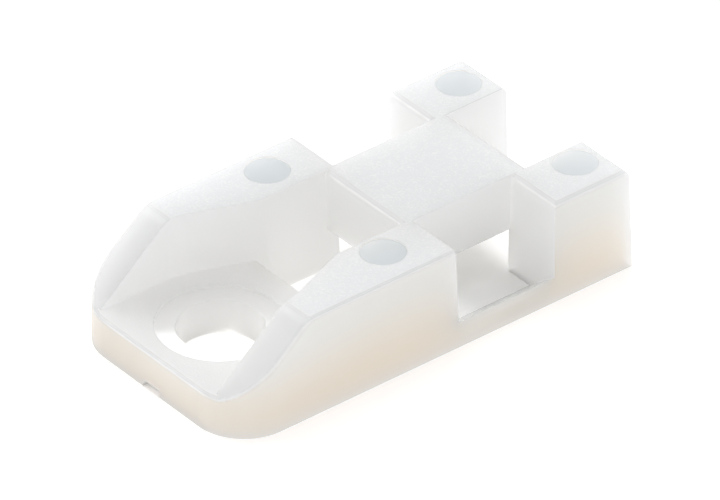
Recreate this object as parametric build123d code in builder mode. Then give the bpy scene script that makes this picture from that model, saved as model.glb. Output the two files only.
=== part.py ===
import os
from math import cos, radians, sin, tan

from build123d import *

os.makedirs("parts", exist_ok=True)

# Cable tie mount moulded in one piece from natural nylon.
# Millimetres. The origin is on the mounting face, on the axis of the screw hole;
# +X runs from the screw end to the post end, +Z is up, away from the panel.

# Outside of the moulding
length = 21.9
width = 11.6
height = 5.0
corner_r = 2.5  # plan radius of the two corners at the screw end
draft = 1.5  # degrees, outer faces lean inwards towards the top

# Screw end
hole_from_end = 3.8  # screw end to the hole's axis
hole_d = 3.9  # clears a 3.5 mm screw
pad_t = 1.9
pad_reach = 4.05  # pad runs this far behind the hole's axis
seat_d = 5.75  # polished ring the screw head bears on
seat_sink = 0.15
pocket_d = 8.0  # room for the screw head between the walls
pocket_taper = 21.0  # degrees, how fast the pocket narrows to the channel

# Side walls
wall_end = 12.15  # screw end to the walls' back faces, at the top
channel_w = 5.25  # between the walls behind the pocket, at the top
channel_draft = 2.5  # degrees on each side of the channel
ramp_foot = 0.42  # the ramps leave the pad this far from the screw end
ramp_angle = 39.6  # degrees above the pad
break_r = 1.2  # rounding where ramp turns into level top
edge_r = 0.25  # outer top edges of pad, ramps and walls
slot_draft = 1.5  # degrees, backs of the walls and fronts of the posts, closing downwards

# Posts
post_l = 4.25
post_w = 3.15
post_outer_r = 0.3  # top edge at the outer face
post_front_r = 0.35  # top edge towards the bridge
post_back_r = 0.3
post_inner_r = 0.07

# Bridge over the tie, held between the walls and between the posts, open below
bridge_w = 5.45
bridge_lap_walls = 0.5  # reaches this far in between the walls
bridge_lap_posts = 1.1  # and this far in between the posts
bridge_root = 0.15  # each end runs this far into the material on either side of it
tunnel_h = 2.0  # mounting face to the bridge's underside
bridge_front_r = 0.35
bridge_back_r = 0.6
bridge_low_r = 0.35  # lower side edges the tie bears on

# Sills under the side slots
sill_h = 1.3  # at the outer face
sill_w = 1.7  # runs out to nothing this far inside
sill_root = 0.2  # each end runs this far into wall and post

# Ejector pin marks and gate
pin_d = 2.05
pin_sink = 0.08
pin_wall_x = 9.75  # marks on the walls, from the screw end
pin_post_x = 20.4  # marks on the posts, from the screw end
pin_gap_y = 7.95  # between the two rows of marks
pin_shift_y = 0.25  # the rows sit off the middle by this much
gate_w = 1.1
gate_h = 0.35
gate_sink = 0.3

# Cutting shapes run this far past the faces they cut
beyond = 1.0

# Places along X, measured from the hole's axis
front = -hole_from_end
back = front + length
middle = front + length / 2
wall_back = front + wall_end
post_front = back - post_l
bridge_front = wall_back - bridge_lap_walls
bridge_back = post_front + bridge_lap_posts
side = width / 2
slot_lean = height * tan(radians(slot_draft))


# Outer shape every side face is taken from: the plan, narrowing upwards
with BuildPart() as shell:
    with BuildSketch() as plan:
        with Locations((middle, 0)):
            Rectangle(length, width)
        fillet(plan.vertices().group_by(Axis.X)[0], corner_r)
    extrude(amount=height, taper=draft)

# Body: the outer shape cut off behind the walls, ramped down to the pad in front,
# with its outer top edges rounded in one run
ramp = radians(ramp_angle)
ramp_low = front + ramp_foot
ramp_top = ramp_low + (height - pad_t) / tan(ramp)
break_leg = break_r * tan(ramp / 2)
with BuildPart() as body:
    add(shell.part)
    with BuildSketch(Plane.XZ):
        Polygon(
            (wall_back + slot_lean, 0),
            (back + beyond, 0),
            (back + beyond, height),
            (wall_back, height),
            align=None,
        )
    extrude(amount=width, both=True, mode=Mode.SUBTRACT)
    with BuildSketch(Plane.XZ):
        with BuildLine():
            foot = Line((front - beyond, pad_t), (ramp_low, pad_t))
            slope = Line(foot @ 1, (ramp_top - break_leg * cos(ramp), height - break_leg * sin(ramp)))
            turn = TangentArc(slope @ 1, (ramp_top + break_leg, height), tangent=slope % 1)
            Polyline(turn @ 1, ((turn @ 1).X, height + beyond), (front - beyond, height + beyond), foot @ 0)
        make_face()
    extrude(amount=width, both=True, mode=Mode.SUBTRACT)
    upward = body.faces().filter_by(lambda f: f.normal_at(f.center()).Z > 0.5)
    inner = upward.edges().filter_by(Axis.Y).sort_by(Axis.X)[1:]
    fillet(upward.edges() - inner, edge_r)

# Room between the walls: pocket round the screw head, funnel, tapered channel
lean = tan(radians(channel_draft))
taper = radians(pocket_taper)
funnel_x = pocket_d / 2 * sin(taper)
funnel_y = pocket_d / 2 * cos(taper)
funnel_end = funnel_x + (funnel_y - channel_w / 2 + height * lean) / tan(taper)
funnel_low = channel_w / 2 - height * lean
with BuildPart() as room:
    with BuildSketch(Plane.XY):
        Circle(pocket_d / 2)
        Rectangle(hole_from_end + beyond, pocket_d, align=(Align.MAX, Align.CENTER))
        Polygon(
            (funnel_x, -funnel_y),
            (funnel_end, -funnel_low),
            (funnel_end, funnel_low),
            (funnel_x, funnel_y),
            align=None,
        )
    extrude(amount=height + beyond)
    with BuildSketch(Plane.YZ):
        Polygon(
            (-funnel_low, 0),
            (funnel_low, 0),
            (channel_w / 2 + beyond * lean, height + beyond),
            (-channel_w / 2 - beyond * lean, height + beyond),
            align=None,
        )
    extrude(amount=wall_back + beyond)
    # The pad closes the lower part of it under the screw head
    with Locations((front - 2 * beyond, 0, -beyond)):
        Box(
            hole_from_end + pad_reach + 2 * beyond,
            width,
            pad_t + beyond,
            align=(Align.MIN, Align.CENTER, Align.MIN),
            mode=Mode.SUBTRACT,
        )

# Sill between wall and post: a wedge falling inwards to the mounting face
with BuildPart() as sill:
    fall = sill_h / sill_w
    with BuildSketch(Plane.YZ.offset(wall_back - sill_root)):
        Polygon((-side - beyond, 0), (-side + sill_w, 0), (-side - beyond, sill_h + beyond * fall), align=None)
    extrude(amount=post_front - wall_back + 2 * sill_root)
    add(shell.part, mode=Mode.INTERSECT)

# Post: a side profile and an end profile crossed, so that only its top edges are round
inset = height * tan(radians(draft))
with BuildPart() as post:
    with BuildSketch(Plane.XZ) as post_side:
        Polygon(
            (post_front - slot_lean, 0),
            (back, 0),
            (back - inset, height),
            (post_front, height),
            align=None,
        )
        top = post_side.vertices().group_by(Axis.Y)[-1].sort_by(Axis.X)
        fillet(top[0], post_front_r)
        fillet(post_side.vertices().sort_by_distance(top[1])[0], post_back_r)
    extrude(amount=width, both=True)
    with BuildSketch(Plane.YZ.offset(post_front - beyond)) as post_end:
        Polygon((-side, 0), (post_w - side, 0), (post_w - side, height), (inset - side, height), align=None)
        top = post_end.vertices().group_by(Axis.Y)[-1].sort_by(Axis.X)
        fillet(top[0], post_outer_r)
        fillet(post_end.vertices().sort_by_distance(top[1])[0], post_inner_r)
    extrude(amount=post_l + 2 * beyond, mode=Mode.INTERSECT)

# Bridge: a bar with its lower edges eased for the tie, each end as wide as the room
# it closes, cut to a side profile that rounds its two top edges
with BuildPart() as bridge:
    with BuildSketch(Plane.YZ.offset(bridge_front)) as bridge_end:
        with Locations((0, tunnel_h)):
            Rectangle(bridge_w, height - tunnel_h, align=(Align.CENTER, Align.MIN))
        fillet(bridge_end.vertices().group_by(Axis.Y)[0], bridge_low_r)
    extrude(amount=bridge_back - bridge_front)
    root_low = tunnel_h + bridge_low_r
    wall_end_room = (bridge_front, wall_back, channel_w)
    post_end_room = (post_front + post_front_r, bridge_back, width - 2 * post_w)
    for start, stop, gap in (wall_end_room, post_end_room):
        with Locations((start, 0, root_low)):
            Box(
                stop - start,
                gap + 2 * bridge_root,
                height - root_low,
                align=(Align.MIN, Align.CENTER, Align.MIN),
            )
    with BuildSketch(Plane.XZ) as bridge_side:
        Polygon(
            (bridge_front, tunnel_h),
            (bridge_back, tunnel_h),
            (bridge_back, height),
            (bridge_front, height),
            align=None,
        )
        top = bridge_side.vertices().group_by(Axis.Y)[-1].sort_by(Axis.X)
        fillet(top[0], bridge_front_r)
        fillet(bridge_side.vertices().sort_by_distance(top[1])[0], bridge_back_r)
    extrude(amount=width, both=True, mode=Mode.INTERSECT)

# The moulding, with what is sunk into it
with BuildPart() as mount:
    add(body.part)
    add(room.part, mode=Mode.SUBTRACT)
    add(sill.part)
    mirror(sill.part, about=Plane.XZ)
    add(post.part)
    mirror(post.part, about=Plane.XZ)
    add(bridge.part)
    # Screw hole and the ring round it
    with BuildSketch(Plane.XY.offset(pad_t)):
        Circle(seat_d / 2)
    extrude(amount=-seat_sink, mode=Mode.SUBTRACT)
    with BuildSketch(Plane.XY):
        Circle(hole_d / 2)
    extrude(amount=pad_t, mode=Mode.SUBTRACT)
    # Ejector pin marks
    rows = (pin_shift_y - pin_gap_y / 2, pin_shift_y + pin_gap_y / 2)
    marks = [(front + x, y) for x in (pin_wall_x, pin_post_x) for y in rows]
    with BuildSketch(Plane.XY.offset(height)):
        with Locations(marks):
            Circle(pin_d / 2)
    extrude(amount=-pin_sink, mode=Mode.SUBTRACT)
    # Gate, broken off below the screw end
    with Locations((front, 0, 0)):
        Box(2 * gate_sink, gate_w, 2 * gate_h, mode=Mode.SUBTRACT)

mount.part.label = "cable_tie_mount"
export_step(mount.part, "parts/cable_tie_mount.step")
print("solids", len(mount.part.solids()), "volume", round(mount.part.volume, 2))
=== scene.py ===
import math

import bpy
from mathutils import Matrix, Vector


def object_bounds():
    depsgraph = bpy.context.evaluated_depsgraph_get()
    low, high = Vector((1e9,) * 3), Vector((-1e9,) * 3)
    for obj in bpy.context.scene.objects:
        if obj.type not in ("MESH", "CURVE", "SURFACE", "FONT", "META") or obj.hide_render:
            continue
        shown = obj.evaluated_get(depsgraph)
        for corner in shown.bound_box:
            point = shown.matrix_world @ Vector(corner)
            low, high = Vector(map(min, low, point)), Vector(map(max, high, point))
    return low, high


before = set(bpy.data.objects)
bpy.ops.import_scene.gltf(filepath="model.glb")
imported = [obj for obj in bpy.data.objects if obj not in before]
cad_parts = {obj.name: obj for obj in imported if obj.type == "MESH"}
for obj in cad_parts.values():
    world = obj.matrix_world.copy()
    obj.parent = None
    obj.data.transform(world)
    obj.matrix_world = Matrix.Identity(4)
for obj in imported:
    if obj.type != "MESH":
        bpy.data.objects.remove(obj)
solid_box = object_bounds()

# The moulding, one piece of unfilled natural nylon, milky and slightly see-through.
# It is injected through a small gate under the screw end and shrinks off a steel tool.
# Light wanders several millimetres through it before it comes out again.
MM = 0.001
(front_x, _, _), (back_x, far_y, top_z) = solid_box
nylon_ior = 1.53
light_wander = 8.0 * MM
polish = 0.26  # roughness of what comes from polished steel

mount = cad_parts["cable_tie_mount"]
nylon = bpy.data.materials.new("natural_nylon")
nylon.use_nodes = True
mount.data.materials.clear()
mount.data.materials.append(nylon)
shader = nylon.node_tree.nodes["Principled BSDF"]
shader.subsurface_method = "RANDOM_WALK"
shader.inputs["IOR"].default_value = nylon_ior
shader.inputs["Subsurface Radius"].default_value = (1.0, 1.0, 1.0)
shader.inputs["Subsurface Scale"].default_value = light_wander


def feed(node, socket, value):
    if isinstance(value, bpy.types.NodeSocket):
        node.id_data.links.new(value, node.inputs[socket])
    elif isinstance(value, tuple):
        node.inputs[socket].default_value = (*value, 1.0)
    else:
        node.inputs[socket].default_value = value


def maths(operation, first, second=0.0, third=0.0):
    node = first.id_data.nodes.new("ShaderNodeMath")
    node.operation = operation
    for socket, value in enumerate((first, second, third)):
        feed(node, socket, value)
    return node.outputs[0]


def between(value, low, high, at_low=0.0, at_high=1.0):
    node = value.id_data.nodes.new("ShaderNodeMapRange")
    node.interpolation_type = "SMOOTHSTEP"
    for socket, number in enumerate((value, low, high, at_low, at_high)):
        feed(node, socket, number)
    return node.outputs["Result"]


def tint(share, under, over):
    node = share.id_data.nodes.new("ShaderNodeMix")
    node.data_type = "RGBA"
    # Sockets 6 and 7 are the two colours
    for socket, value in ((0, share), (6, under), (7, over)):
        feed(node, socket, value)
    return node.outputs[2]


def axes(vector):
    node = vector.id_data.nodes.new("ShaderNodeSeparateXYZ")
    feed(node, 0, vector)
    return node.outputs[0], node.outputs[1], node.outputs[2]


def length(x, y):
    vector = x.id_data.nodes.new("ShaderNodeCombineXYZ")
    feed(vector, "X", x)
    feed(vector, "Y", y)
    node = x.id_data.nodes.new("ShaderNodeVectorMath")
    node.operation = "LENGTH"
    feed(node, 0, vector.outputs[0])
    return node.outputs["Value"]


coords = nylon.node_tree.nodes.new("ShaderNodeTexCoord")
along, across, height = axes(coords.outputs["Object"])
facing_along, facing_across, facing_up = axes(coords.outputs["Normal"])
forward = maths("MULTIPLY", along, -1.0)
side = maths("ABSOLUTE", across)

# The upright faces, drafted and polished so that the moulding leaves the tool.
# The outer ones are painted from a cool grey at the top to amber at the foot, a painted glow of the
# light that has come furthest through the nylon. Those between the walls are painted almost white,
# painted light against the shade between them.
painted_glow_height = 4.6 * MM
outer_from = 4.4 * MM
end_from = 2.4 * MM
blend = 0.4 * MM

rise = between(height, 0.0, painted_glow_height)
inner_faces_painted_light = tint(rise, (0.995, 0.975, 0.94), (0.97, 0.96, 0.93))
outer_faces_painted_glow = tint(rise, (0.845, 0.69, 0.565), (0.785, 0.77, 0.725))
facing_side = between(maths("ABSOLUTE", facing_across), 0.3, 0.6)
facing_end = between(maths("MULTIPLY", facing_along, -1.0), 0.3, 0.6)
outer_side = maths("MULTIPLY", facing_side, between(side, outer_from, outer_from + blend))
outer_end = maths("MULTIPLY", facing_end, between(forward, end_from, end_from + blend))
steep = between(facing_up, 0.2, 0.5, 1.0, 0.0)
outer = maths("MULTIPLY", maths("MAXIMUM", outer_side, outer_end), steep)
# Painted glow low on the outer faces and painted light on the faces between the walls
colour = tint(outer, inner_faces_painted_light, outer_faces_painted_glow)

# The two ramps that rise from the pad to the walls' tops, and the roundings as steep as they.
# They come from polished steel as the upright faces do, and are painted greyer, a painted shade
# of the dim studio that they mirror and not the bright table.
level_facing = between(facing_up, 0.93, 0.995)
sloping_painted_shade = maths("SUBTRACT", between(facing_up, 0.55, 0.7), level_facing)
# Painted shade: the ramps and steep roundings are darkened to a grey
colour = tint(sloping_painted_shade, colour, (0.755, 0.76, 0.76))

# The level faces, which are the tops of walls, bridge and posts, and the pad.
# The tool was spark-eroded there, which leaves a fine grain on the nylon; its bright flecks are
# painted glints.
# The tops are painted darker and cooler and the pad lighter: painted shade against the light on the
# open tops, painted light against the shade in the pocket.
pad_z = 1.9 * MM
grain_size = 0.09 * MM
grain_depth = 0.02 * MM
painted_glint_share = 0.5


def level(z):
    off = maths("ABSOLUTE", maths("SUBTRACT", height, z))
    return maths("MULTIPLY", level_facing, between(off, 0.02 * MM, 0.05 * MM, 1.0, 0.0))


tops = level(top_z)
pad = level(pad_z)
grained = maths("ADD", tops, pad)
grain = nylon.node_tree.nodes.new("ShaderNodeTexNoise")
feed(grain, "Vector", coords.outputs["Object"])
feed(grain, "Scale", 1.0 / grain_size)
feed(grain, "Detail", 2.0)
feed(grain, "Roughness", 0.6)
painted_glint_flecks = maths("MULTIPLY", grained, between(grain.outputs["Fac"], 0.45, 0.75))
# Painted shade on the open tops and painted light on the pad in the pocket
colour = tint(tops, colour, (0.835, 0.855, 0.88))
colour = tint(pad, colour, (0.955, 0.95, 0.93))
# Painted glints: white flecks painted into the grain of the level faces
colour = tint(maths("MULTIPLY", painted_glint_flecks, painted_glint_share), colour, (1.0, 1.0, 1.0))
roughness = maths("MULTIPLY_ADD", grained, 0.2, polish)

# The bridge's back edge, a wide rounding that lies between the posts.
# The grain of the top runs out over it, so it is duller than the other roundings.
back_edge_x = 14.2 * MM
back_edge_z = 4.1 * MM
posts_gap_y = 2.6 * MM
fade = 0.2 * MM

back_edge = between(along, back_edge_x, back_edge_x + fade)
back_edge = maths("MULTIPLY", back_edge, between(height, back_edge_z, back_edge_z + fade))
back_edge = maths("MULTIPLY", back_edge, between(side, posts_gap_y - fade / 2, posts_gap_y, 1.0, 0.0))
roughness = maths("MULTIPLY_ADD", back_edge, 0.3, roughness)

# The sharp edges, broken by the small radius that every cutter leaves in the tool.
# The lowest edges stay sharp, because the tool parts there.
edge_r = 0.09 * MM
sharp_up_to = 0.4 * MM
soft_from = 0.5 * MM

soft_edges = nylon.node_tree.nodes.new("ShaderNodeBevel")
soft_edges.samples = 6
feed(soft_edges, "Radius", between(height, sharp_up_to, soft_from, 0.0, edge_r))

# The ring that the screw's head bears on, sunk into the pad round the hole.
# It is polished to a mirror, and it falls a little from the hole outwards.
ring_sink = 0.15 * MM
hole_r = 1.95 * MM
ring_r = 2.875 * MM
ring_fall = 0.14


def relief(under, depth, strength, shape):
    node = under.id_data.nodes.new("ShaderNodeBump")
    feed(node, "Distance", depth)
    feed(node, "Strength", strength)
    feed(node, "Height", shape)
    feed(node, "Normal", under)
    return node.outputs["Normal"]


ring = level(pad_z - ring_sink)
# The ring is painted almost white, a painted reflection of the bright panel that it mirrors
colour = tint(ring, colour, (0.998, 0.998, 0.998))
roughness = maths("MULTIPLY_ADD", ring, -0.08, roughness)
feed(shader, "Specular IOR Level", maths("MULTIPLY_ADD", ring, 0.5, 0.5))
from_axis = length(along, across)
out_on_ring = maths("MINIMUM", maths("MAXIMUM", from_axis, hole_r), ring_r)
crowned = relief(soft_edges.outputs["Normal"], 1.0, 1.0, maths("MULTIPLY", out_on_ring, -ring_fall))
grained_lightly = maths("MULTIPLY_ADD", grained, 0.7, 0.05)
feed(shader, "Normal", relief(crowned, grain_depth, grained_lightly, grain.outputs["Fac"]))

# The four marks of the ejector pins that push the moulding off the tool.
# Each is sunk a little into the tops, duller than the grain and cooler in colour.
mark_sink = 0.08 * MM

mark = level(top_z - mark_sink)
colour = tint(mark, colour, (0.62, 0.66, 0.68))
feed(shader, "Roughness", maths("MULTIPLY_ADD", mark, 0.25, roughness))

# A painted shadow in the gate's notch under the screw end, where the moulding was broken off its
# runner. Its foot is painted dark and lets no light through, as the shade that falls in the notch.
notch_shade_x = 3.3 * MM
notch_shade_y = 0.5 * MM
notch_shade_z = 0.08 * MM
notch_shade_blur = 0.1 * MM

notch_painted_shade = between(forward, notch_shade_x, notch_shade_x + notch_shade_blur)
notch_painted_shade = maths("MULTIPLY", notch_painted_shade, between(side, notch_shade_y, notch_shade_y + notch_shade_blur, 1.0, 0.0))
notch_painted_shade = maths("MULTIPLY", notch_painted_shade, between(height, notch_shade_z, notch_shade_z + 1.2 * notch_shade_blur, 1.0, 0.0))
# Painted shadow: the notch's foot is dark and takes no subsurface light
feed(shader, "Base Color", tint(notch_painted_shade, colour, (0.24, 0.22, 0.19)))
feed(shader, "Subsurface Weight", maths("MULTIPLY_ADD", notch_painted_shade, -1.0, 1.0))

# The table under the mount, a large sheet of opal plastic lit from below.
# It glows less under the moulding than round it, with painted light a little stronger in the open
# floor of hole, channel and rear gap, and a painted shadow beside the posts, where the part's own
# shadow lies.
reach = 1.5
gap = 0.02 * MM
corner_r = 2.5 * MM
sharp = 0.03 * MM
soft = 0.3 * MM
softest = 0.9 * MM
table_glow = 0.41

square = ((-reach, -reach, -gap), (reach, -reach, -gap), (reach, reach, -gap), (-reach, reach, -gap))
sheet = bpy.data.meshes.new("table")
sheet.from_pydata(square, [], [(0, 1, 2, 3)])
table = bpy.data.objects.new("table", sheet)
bpy.context.scene.collection.objects.link(table)
opal = bpy.data.materials.new("opal_table")
opal.use_nodes = True
sheet.materials.append(opal)
opal_shader = opal.node_tree.nodes["Principled BSDF"]
opal_shader.inputs["Base Color"].default_value = (0.95, 0.95, 0.95, 1.0)
opal_shader.inputs["Roughness"].default_value = 0.9
opal_shader.inputs["Emission Color"].default_value = (1.0, 1.0, 1.0, 1.0)
table_coords = opal.node_tree.nodes.new("ShaderNodeTexCoord")
table_x, table_y, _ = axes(table_coords.outputs["Object"])


def patch(x_low, x_high, y_low, y_high, blur):
    share = between(table_x, x_low - blur, x_low + blur)
    share = maths("MULTIPLY", share, between(table_x, x_high - blur, x_high + blur, 1.0, 0.0))
    share = maths("MULTIPLY", share, between(table_y, y_low - blur, y_low + blur))
    return maths("MULTIPLY", share, between(table_y, y_high - blur, y_high + blur, 1.0, 0.0))


# Depth inside the foot's outline, whose two corners at the screw end are round
past_corner_x = maths("MULTIPLY_ADD", table_x, -1.0, front_x + corner_r)
past_corner_y = maths("SUBTRACT", maths("ABSOLUTE", table_y), far_y - corner_r)
past_corner = length(maths("MAXIMUM", past_corner_x, 0.0), maths("MAXIMUM", past_corner_y, 0.0))
inside = maths("MULTIPLY_ADD", past_corner, -1.0, corner_r)
inside = maths("MINIMUM", inside, maths("MULTIPLY_ADD", table_x, -1.0, back_x))
covered = between(inside, 0.0, sharp)

rear_gap = patch(14.0 * MM, 18.0 * MM, -2.6 * MM, 2.6 * MM, soft)
hole = patch(-1.9 * MM, 1.9 * MM, -1.9 * MM, 1.9 * MM, soft)
channel = patch(4.2 * MM, 8.2 * MM, -2.5 * MM, 2.5 * MM, soft)
painted_light_floor = maths("ADD", maths("MULTIPLY_ADD", rear_gap, 0.5, hole), channel)
painted_shadow_patch = patch(10.6 * MM, 14.0 * MM, -4.6 * MM, 4.8 * MM, softest)
# Painted light in the open floor and painted shadow beside the posts, made in the table's glow
glow = maths("MULTIPLY_ADD", covered, -0.16, table_glow)
glow = maths("MULTIPLY_ADD", painted_light_floor, 0.2, glow)
glow = maths("MULTIPLY", glow, maths("MULTIPLY_ADD", painted_shadow_patch, -0.75, 1.0))
feed(opal_shader, "Emission Strength", glow)

# The studio round it, a dim white tent with seven round softboxes one metre from the part.
# The key light comes over the far side wall. The panel stands where the polished ring
# mirrors it to the camera, and the smallest and brightest one lights the top edges.
white = (1.0, 1.0, 1.0)
daylight = (0.98, 0.99, 1.0)
cool_daylight = (0.97, 0.985, 1.0)
stand = 1.0
aim = Vector((7.0 * MM, 0.0, 2.5 * MM))

tent = bpy.data.worlds.new("studio")
tent.use_nodes = True
tent.node_tree.nodes["Background"].inputs["Color"].default_value = (*white, 1.0)
tent.node_tree.nodes["Background"].inputs["Strength"].default_value = 0.34
bpy.context.scene.world = tent


def softbox(name, towards, size, brightness, light_colour):
    light = bpy.data.lights.new(name, "AREA")
    light.shape = "DISK"
    light.size = size
    light.energy = brightness * (math.pi * size / 2) ** 2
    light.color = light_colour
    lamp = bpy.data.objects.new(name, light)
    bpy.context.scene.collection.objects.link(lamp)
    away = Vector(towards).normalized()
    lamp.location = aim + away * stand
    lamp.rotation_mode = "QUATERNION"
    lamp.rotation_quaternion = (-away).to_track_quat("-Z", "Y")


softbox("overhead", (0.0, 0.0, 1.0), 0.9, 1.1, daylight)
softbox("key", (-0.226, 0.706, 0.672), 0.45, 2.0, daylight)
softbox("edge", (-0.70, 0.64, 0.30), 0.10, 36.0, white)
softbox("panel", (0.44, 0.57, 0.69), 0.45, 3.7, cool_daylight)
softbox("post_end", (0.9, 0.1, 0.45), 0.7, 0.9, white)
softbox("screw_end", (-0.9, 0.1, 0.45), 0.7, 0.45, white)
softbox("near_side", (0.1, -0.9, 0.45), 0.7, 0.6, white)

# The camera, far off with a long lens, as for a catalogue picture of a small part.
# It looks down on the near side and the screw end, where the photograph was taken from.
camera = bpy.data.objects.new("camera", bpy.data.cameras.new("camera"))
bpy.context.scene.collection.objects.link(camera)
camera.data.sensor_width = 36.0
camera.data.lens = 529.735
camera.data.clip_start = 0.01
camera.data.clip_end = 10.0
camera.location = (-0.226032, -0.293436, 0.261714)
camera.rotation_euler = (math.radians(55.3354), math.radians(0.3896), math.radians(-38.8024))
bpy.context.scene.camera = camera
bpy.context.scene.view_settings.view_transform = "Standard"
